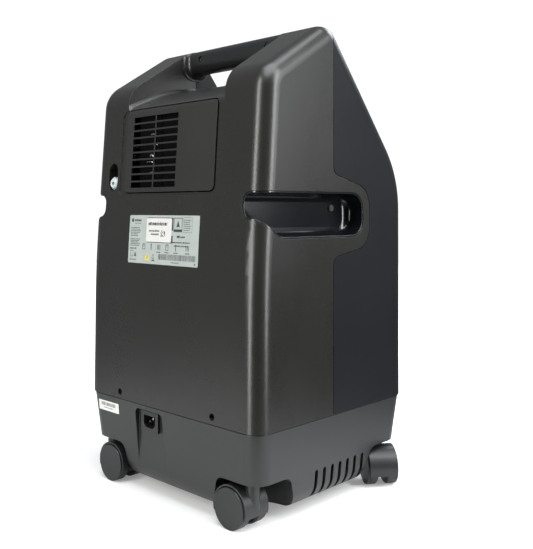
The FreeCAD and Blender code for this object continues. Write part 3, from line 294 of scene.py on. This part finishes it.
class Face:
    """A flat frame for marks on a node: origin, across, up and outward, all in the row frame."""

    def __init__(self, origin, across, up, node):
        self.origin = Vector(origin)
        self.across = Vector(across).normalized()
        self.up = Vector(up).normalized()
        self.out = self.across.cross(self.up)
        self.tree = BVHTree.FromObject(frame["nodes"][node], bpy.context.evaluated_depsgraph_get())

    def on_surface(self, u, v, lift):
        """The point over (u, v) millimetres on the node's surface, raised by lift millimetres."""
        clear_of_node = 60
        start = self.origin + (self.across * u + self.up * v + self.out * clear_of_node) * MM
        found = self.tree.ray_cast(start, -self.out)[0]
        if found is None:
            raise RuntimeError(f"no surface under {u}, {v}")
        return found + self.out * lift * MM


def bar(u, v, width, height):
    """A rectangle from its lower left corner."""
    return [(u, v), (u + width, v), (u + width, v + height), (u, v + height)]


def disc(u, v, radius, sides=20):
    """A filled circle."""
    return [(u + radius * math.cos(2 * math.pi * k / sides), v + radius * math.sin(2 * math.pi * k / sides))
            for k in range(sides)]


def box_outline(u, v, width, height, line):
    """Four bars round a rectangle."""
    return [bar(u, v, width, line), bar(u, v + height - line, width, line),
            bar(u, v + line, line, height - 2 * line),
            bar(u + width - line, v + line, line, height - 2 * line)]


def text_line(u, v, width, height, longest=3.2):
    """A row of blocks of uneven length in place of words."""
    shortest = 0.9
    least_room = 0.8
    blocks = []
    at = u
    while at < u + width - least_room:
        run = min(random.uniform(shortest, longest), u + width - at)
        blocks.append(bar(at, v, run, height * random.uniform(0.8, 1.0)))
        at += run + random.uniform(0.45, 0.75)
    return blocks


def bar_code(u, v, end, height, bars, gaps):
    """Upright bars of uneven width from u until end."""
    shapes = []
    while u < end:
        run = random.choice(bars)
        shapes.append(bar(u, v, run, height))
        u += run + random.choice(gaps)
    return shapes


def print_marks(name, face, shapes, material, lift, body="root"):
    """Flat marks, each a polygon, laid on the surface."""
    maker = bmesh.new()
    for shape in shapes:
        maker.faces.new([maker.verts.new(face.on_surface(u, v, lift)) for u, v in shape])
    return piece(name, made_mesh(name, maker), material, body)


def thin_slab(name, face, corner, dims, round_off, lift, thick, material):
    """A thin sticker with rounded corners that follows the surface under it."""
    u, v = corner
    width, height = dims
    steps, columns = 12, 6
    maker = bmesh.new()
    rows = []
    for j in range(steps + 1):
        fall = height * j / steps
        edge = min(fall, height - fall)
        shy = round_off - math.sqrt(max(0.0, round_off ** 2 - max(0.0, round_off - edge) ** 2))
        left, right = u + shy, u + width - shy
        rows.append([maker.verts.new(face.on_surface(left + (right - left) * i / columns, v + fall, lift))
                     for i in range(columns + 1)])
    for lower, upper in zip(rows, rows[1:]):
        for i in range(columns):
            maker.faces.new((lower[i], lower[i + 1], upper[i + 1], upper[i]))
    thing = piece(name, made_mesh(name, maker), material, "root")
    solid = thing.modifiers.new("thickness", "SOLIDIFY")
    solid.thickness = thick * MM
    solid.offset = 1


# ---------------------------------------------------------------- printed marks
def rating_label():
    """Generic print on the rating label: blocks for words, a boxed mark, pictograms and bars.

    Places are millimetres from the label's lower left corner.
    """
    low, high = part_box("rating_label")
    face = Face((high.x, high.y, low.z), BACK_ACROSS, UPRIGHT, "rating_label")
    width = (high.x - low.x) / MM
    height = (high.z - low.z) / MM
    ink = film("ink_dark", (0.055, 0.06, 0.06), 0.45)

    # left column: a plain mark, address lines and a boxed sign
    shapes = [disc(7, height - 7, 2.6), *text_line(11.5, height - 8.4, 15, 3.0, 4.6)]
    shapes += text_line(11.5, height - 11.6, 14, 0.9, 1.6)
    for row in range(6):
        shapes += text_line(4, height - 17.5 - 2.2 * row, 19 + 3 * math.sin(row), 1.1)
    for row in range(5):
        shapes += text_line(4, height - 33 - 2.2 * row, 20 + 2 * math.cos(2 * row), 1.1)
    shapes += text_line(4, 19, 14, 1.8, 4.0)
    shapes += [*box_outline(4.5, 8.5, 6.5, 8.5, 0.7), [(13, 9), (18, 9), (15.5, 15.5)]]
    shapes += text_line(3.5, 4, 15, 1.3)

    # right column: a boxed mark, a table and the ratings
    shapes += [*box_outline(95, height - 19.5, 17, 16.5, 0.9), bar(95, height - 21.5, 17, 3.4),
               [(100, height - 15), (107, height - 15), (103.5, height - 6.5)]]
    for row in range(6):
        shapes += text_line(115, height - 6.5 - 2.6 * row, 14 - (row % 3), 1.1)
    shapes += box_outline(113.5, height - 22, 18, 19.5, 0.35)
    shapes += [bar(102, height - 29, 6, 2.8), *text_line(109.5, height - 29, 9, 2.4)]
    shapes += text_line(92, height - 36, 36, 2.0) + text_line(97, height - 40.5, 28, 2.0)

    # a row of pictograms, then the bar code
    middle = 22.5
    for index, centre in enumerate((34, 50, 66, 83, 101, 124)):
        if index % 3 == 0:
            shapes += [*box_outline(centre - 3, middle - 3.5, 6, 7.5, 0.8), bar(centre - 0.5, middle, 1, 5)]
        elif index % 3 == 1:
            shapes += [bar(centre - 0.7, middle - 4, 1.4, 6), disc(centre, middle + 3.4, 1.3)]
        else:
            shapes += [bar(centre + side, middle - 3, 1.1, 6.5) for side in (-3.2, -0.6, 2)]
        if index > 1:
            shapes += text_line(centre - 4, middle - 7, 8, 1.4)
    shapes += [bar(52, 4, 6, 1.8), *box_outline(52.5, 7, 4.5, 5.5, 0.7)]
    shapes += bar_code(66, 6.5, width - 5, 7.5, (0.35, 0.55, 0.9), (0.4, 0.6, 0.9))
    shapes += text_line(92, 3, 16, 1.3)
    shapes.append(disc(width - 6, 3.2, 1.2))
    print_marks("rating_print", face, shapes, ink, PRINT_LIFT)

    triangle = [(37, 5), (47, 5), (42, 14.5)]
    yellow = film("ink_yellow", (0.75, 0.56, 0.04), 0.4)
    print_marks("caution_mark", face, [triangle], yellow, PRINT_LIFT)
    print_marks("caution_bolt", face, [[(41.2, 6.5), (42.8, 6.5), (42.4, 11.8), (41.6, 11.8)]], ink, 0.09)

    # a second, white sticker with a dark shadow line on two sides
    print_marks("sticker_shadow", face, [bar(39.5, height - 36.5, 54.5, 33.5)], ink, PRINT_LIFT)
    white = film("sticker_white", (0.60, 0.60, 0.585), 0.4)
    thin_slab("serial_sticker", face, (38, height - 35.5), (53, 31.5), 1.0, 0.06, 0.12, white)
    rows = text_line(42, height - 13.5, 40, 4.2, 3.4) + text_line(44, height - 22, 22, 2.6, 2.4)
    rows += text_line(48, height - 26.5, 18, 2.6, 2.4)
    for column in range(7):
        for row in range(7):
            if random.random() < 0.62:
                rows.append(bar(69 + 1.25 * column, height - 28.5 + 1.25 * row, 1.2, 1.2))
    print_marks("sticker_print", face, rows, ink, 0.24)
    return ink


def inventory_label(ink):
    """Bars on the small sticker low on the back."""
    low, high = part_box("inventory_label")
    face = Face((high.x, high.y, low.z), BACK_ACROSS, UPRIGHT, "inventory_label")
    width = (high.x - low.x) / MM
    height = (high.z - low.z) / MM
    shapes = bar_code(6, height * 0.5, width - 8, height * 0.34, (0.5, 0.8, 1.3), (0.6, 0.9))
    shapes += text_line(11, height * 0.26, 22, 1.3, 1.8)
    print_marks("inventory_print", face, shapes, ink, PRINT_LIFT)


# ---------------------------------------------------------------- small fittings
def pin_blade(name, x, z, spot, material):
    """A flat plated blade with a chamfered tip over an inlet pin."""
    length, width, thick = 14.7, 4.14, 2.14
    tip_length, tip_shrink = 1.4, 0.55
    rings = []
    for along, shrink in ((0.0, 0.0), (length - tip_length, 0.0), (length, tip_shrink)):
        half_w = thick / 2 - shrink / 2
        half_h = width / 2 - shrink
        rings.append([Vector(spot) + Vector((x + a * half_w, along, z + b * half_h)) * MM
                      for a, b in ((-1, -1), (1, -1), (1, 1), (-1, 1))])
    piece(name, lofted(name, rings), material, "root")


def inlet_pins():
    """The three blades, from behind the inlet's face to just short of it."""
    blade_start = 20.9 * MM
    plated = metal("pin_plating", (0.72, 0.70, 0.66), 0.2, grain=0.000005)
    low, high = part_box("power_inlet")
    middle = (low + high) / 2
    spot = (middle.x, high.y - blade_start, middle.z)
    for index, (x, z) in enumerate(((-7, -1.5), (7, -1.5), (0, 2.5))):
        pin_blade(f"inlet_blade_{index}", x, z, spot, plated)


def console_frame():
    """Origin and axes of the sloping console: across, up the slope."""
    run, rise = 90.0, 110.0
    slope = math.hypot(run, rise)
    up = Vector((0, run / slope, rise / slope))
    out = Vector((0, -rise / slope, run / slope))
    return Vector((0, -0.105, 0.455)), up, out


def dome_lens(name, centre, out, up, radius, height, material):
    """A domed lens turned about the outward direction."""
    across = up.cross(out)
    sides = 28
    rings = []
    for step in range(6):
        angle = math.radians(15 * step)
        middle = centre + out * height * math.sin(angle)
        turns = [2 * math.pi * k / sides for k in range(sides)]
        rings.append([middle + (across * math.cos(turn) + up * math.sin(turn)) * radius * math.cos(angle)
                      for turn in turns])
    mesh = lofted(name, rings, closed_start=False)
    mesh.shade_smooth()
    piece(name, mesh, material, "root")


def ring_marks(u, v, inner, outer, parts=16):
    """A flat ring as quadrilaterals."""
    turns = [2 * math.pi * k / parts for k in range(parts + 1)]
    return [[(u + r * math.cos(a), v + r * math.sin(a))
             for r, a in ((inner, start), (outer, start), (outer, end), (inner, end))]
            for start, end in zip(turns, turns[1:])]


def console_marks():
    """Ticks beside the flow tube, marks on the rocker and the knob, and the three lenses."""
    origin, up, out = console_frame()
    white = film("ink_white", (0.72, 0.73, 0.72), 0.45)

    scale = Face(origin, (1, 0, 0), up, "flow_meter")
    ticks = [bar(-35 + 2 * (k % 2), 49.6 + 6.8 * k, 6 - 2 * (k % 2), 0.8) for k in range(11)]
    print_marks("flow_scale", scale, ticks, white, PRINT_LIFT)

    rocker = Face(origin, (1, 0, 0), up, "power_switch")
    print_marks("rocker_marks", rocker, [bar(41.6, 48, 0.9, 6), *ring_marks(42, 33, 2.0, 2.7)], white, 0.06,
                "rocker")

    knob = Face(origin, (1, 0, 0), up, "flow_knob")
    print_marks("knob_line", knob, [bar(-42.45, 28, 0.9, 8)], white, 0.08, "knob")

    meter = Face(origin, (1, 0, 0), up, "hour_meter")
    cells = [shape for k in range(6) for shape in box_outline(-9 + 4.4 * k, 80.8, 3.6, 6.4, 0.45)]
    print_marks("hour_cells", meter, cells, white, PRINT_LIFT)

    colours = {"green": (0.03, 0.42, 0.10), "amber": (0.70, 0.32, 0.02), "red": (0.50, 0.03, 0.02)}
    for index, (word, colour) in enumerate(colours.items()):
        lens = moulded(f"lens_{word}", colour, 0.12, grain=0.000005, wear=0.1,
                       **{"Transmission Weight": 0.3})
        spot = origin + Vector((0.046, 0, 0)) + up * (130 - 12 * index) * MM + out * 11.05 * MM
        dome_lens(f"lens_{word}", spot, out, up, 3.1 * MM, 1.3 * MM, lens)


def glints():
    """Clips and tube ends seen through the grille, on the inner side of the access panel."""
    bright = metal("clip_steel", (0.75, 0.74, 0.70), 0.22)
    panel_inside = 129.6
    depth, sag, thin = 1.2, 0.8, 0.5
    turns = [k * math.pi / 5 for k in range(10)]
    spots = ((52, 485, 7, 2.2), (47, 470, 5, 1.6), (66, 472, 4, 1.4), (56, 456, 5, 4.0),
             (60, 447, 8, 1.6), (55, 432, 7, 1.8))
    for index, (x, z, reach, tall) in enumerate(spots):
        rings = []
        for step in range(9):
            bend = math.radians(-60 + 15 * step)
            centre = Vector((x + reach * math.sin(bend), panel_inside + depth * math.cos(bend),
                             z + sag * math.cos(2 * bend)))
            rings.append([(centre + Vector((0, thin * math.cos(turn), tall / 2 * math.sin(turn)))) * MM
                          for turn in turns])
        name = f"panel_clip_{index}"
        mesh = lofted(name, rings)
        mesh.shade_smooth()
        piece(name, mesh, bright, "root")


# ---------------------------------------------------------------- studio
def softbox(name, azimuth, distance, height, width, tall, power, tint, aim=0.33):
    """A rectangular light standing round the object; azimuth from +X towards +Y."""
    lamp = bpy.data.lights.new(name, "AREA")
    lamp.shape = "RECTANGLE"
    lamp.size = width
    lamp.size_y = tall
    lamp.energy = power
    lamp.color = tint
    thing = bpy.data.objects.new(name, lamp)
    angle = math.radians(azimuth)
    thing.location = (distance * math.cos(angle), distance * math.sin(angle), height)
    thing.rotation_mode = "QUATERNION"
    toward = Vector((0, 0, aim)) - thing.location
    thing.rotation_quaternion = toward.to_track_quat("-Z", "Y")
    bpy.context.scene.collection.objects.link(thing)


def floor_paper():
    """White paper. The camera sees it burn out to pure white away from the object.

    Reflections see a table's size of it: it ends beyond the object and in front of the camera.
    """
    paper = Shader("floor_paper")
    seen = paper.node("ShaderNodeLightPath").outputs["Is Camera Ray"]
    tone = paper.mix(paper.span(paper.noise(2.0), 0.0, 1.0), (0.90, 0.90, 0.895), (0.93, 0.93, 0.925))
    rough = paper.span(paper.noise(30.0), 0.55, 0.65)
    material = paper.finish(tone, rough, paper.bump(paper.noise(600.0), 0.00001))
    surface = paper.output.inputs[0].links[0].from_socket

    reach = paper.vector("DISTANCE", paper.place, (0.0, 0.0, 0.0))
    lift = paper.math("MULTIPLY", seen, paper.span(reach, FLOOR_LIFT, 1.1, 0.3, 1.0))
    glow = paper.node("ShaderNodeEmission", {"Strength": lift}, {"Color": (1, 1, 1, 1)})
    bright = paper.node("ShaderNodeAddShader", {0: surface, 1: glow.outputs[0]})

    across_table = paper.vector("DISTANCE", paper.place, (0.05, 0.22, 0.0))
    toward_camera = paper.vector("DOT_PRODUCT", paper.place, (*TO_CAMERA, 0.0))
    past_edge = paper.math("MAXIMUM", paper.span(across_table, 0.22, 1.0, 0.42, 0.80),
                           paper.span(toward_camera, 0.0, 1.0, 0.33, 0.44))
    beyond = paper.math("MULTIPLY", past_edge, paper.math("SUBTRACT", 1.0, seen))
    gone = paper.node("ShaderNodeBsdfTransparent")
    table = paper.node("ShaderNodeMixShader", {0: beyond, 1: bright.outputs[0], 2: gone.outputs[0]})
    paper.tree.links.new(table.outputs[0], paper.output.inputs[0])
    return material


def surroundings(room):
    """Strength of the room in reflections: dark behind the camera and low down along the left side."""
    place = room.node("ShaderNodeTexCoord").outputs["Generated"]

    def facing(direction, start, end):
        """0 to 1 as the direction looked along turns towards the one given."""
        return room.span(room.vector("DOT_PRODUCT", place, direction), 0.0, 1.0, start, end)

    behind_camera = facing((*TO_CAMERA, 0.05), 0.72, 0.93)
    low_left = room.math("MULTIPLY", facing((-0.66, -0.75, 0.0), 0.60, 0.88),
                         facing((0.0, 0.0, -1.0), -0.10, 0.02))
    left_share = 0.90
    open_part = room.math("MULTIPLY", room.math("SUBTRACT", 1.0, behind_camera),
                          room.math("SUBTRACT", 1.0, room.math("MULTIPLY", low_left, left_share)))
    return room.math("MULTIPLY", open_part, ROOM)


def studio():
    """White paper, dim surroundings for reflections, boxes round the object and one overhead."""
    scene = bpy.context.scene
    scene.view_settings.view_transform = "Standard"
    scene.view_settings.look = "None"
    world = bpy.data.worlds.new("studio")
    scene.world = world
    world.use_nodes = True
    room = Nodes(world.node_tree)
    output = room.node("ShaderNodeOutputWorld")
    seen = room.node("ShaderNodeBackground", values={"Color": (1, 1, 1, 1), "Strength": 1.1})
    lit = room.node("ShaderNodeBackground", {"Strength": surroundings(room)},
                    {"Color": (0.92, 0.96, 1.0, 1)})
    path = room.node("ShaderNodeLightPath")
    blend = room.node("ShaderNodeMixShader", {0: path.outputs["Is Camera Ray"], 1: lit.outputs[0],
                                              2: seen.outputs[0]})
    room.tree.links.new(blend.outputs[0], output.inputs[0])

    maker = bmesh.new()
    half = 4.0
    steps = 8
    grid = [[maker.verts.new((-half + 2 * half * i / steps, -half + 2 * half * j / steps, 0.0))
             for i in range(steps + 1)] for j in range(steps + 1)]
    for near, far in zip(grid, grid[1:]):
        for i in range(steps):
            maker.faces.new((near[i], near[i + 1], far[i + 1], far[i]))
    mesh = made_mesh("floor", maker)
    floor = bpy.data.objects.new("floor", mesh)
    scene.collection.objects.link(floor)
    mesh.materials.append(floor_paper())

    softbox("box_left", 91, 1.9, 0.70, 0.42, 2.3, 42, (1.0, 0.98, 0.94))
    softbox("box_right", 189, 1.8, 0.95, 0.36, 2.3, 40, (1.0, 1.0, 1.0))
    softbox("box_side", 208, 2.0, 1.08, 0.9, 1.5, 18, (0.98, 0.99, 1.0))
    softbox("box_front", 262, 1.6, 1.65, 1.3, 0.9, 26, (0.88, 0.94, 1.0))
    softbox("box_high", 150, 0.7, 2.1, 1.5, 1.5, 42, (0.93, 0.97, 1.0))


def camera():
    """The camera stands off the rear left corner, level with the middle of the cabinet."""
    place = (-0.7792, 0.7805, 0.3781)
    yaw, pitch, roll = (math.radians(angle) for angle in (-46.465, 1.911, 0.218))
    forward = Vector((math.cos(pitch) * math.cos(yaw), math.cos(pitch) * math.sin(yaw), math.sin(pitch)))
    level = Vector((math.sin(yaw), -math.cos(yaw), 0))
    above = level.cross(forward)
    right = level * math.cos(roll) + above * math.sin(roll)
    up = above * math.cos(roll) - level * math.sin(roll)
    lens = bpy.data.cameras.new("camera")
    lens.sensor_width = 36
    lens.lens = 49.6
    lens.shift_x = 0.0024
    lens.shift_y = -0.1594
    lens.clip_start = 0.05
    thing = bpy.data.objects.new("camera", lens)
    turn = Matrix((right, up, -forward)).transposed()
    thing.matrix_world = Matrix.Translation(place) @ turn.to_4x4()
    bpy.context.scene.collection.objects.link(thing)
    bpy.context.scene.camera = thing


dress_cad()
inventory_label(rating_label())
inlet_pins()
console_marks()
glints()
studio()
camera()
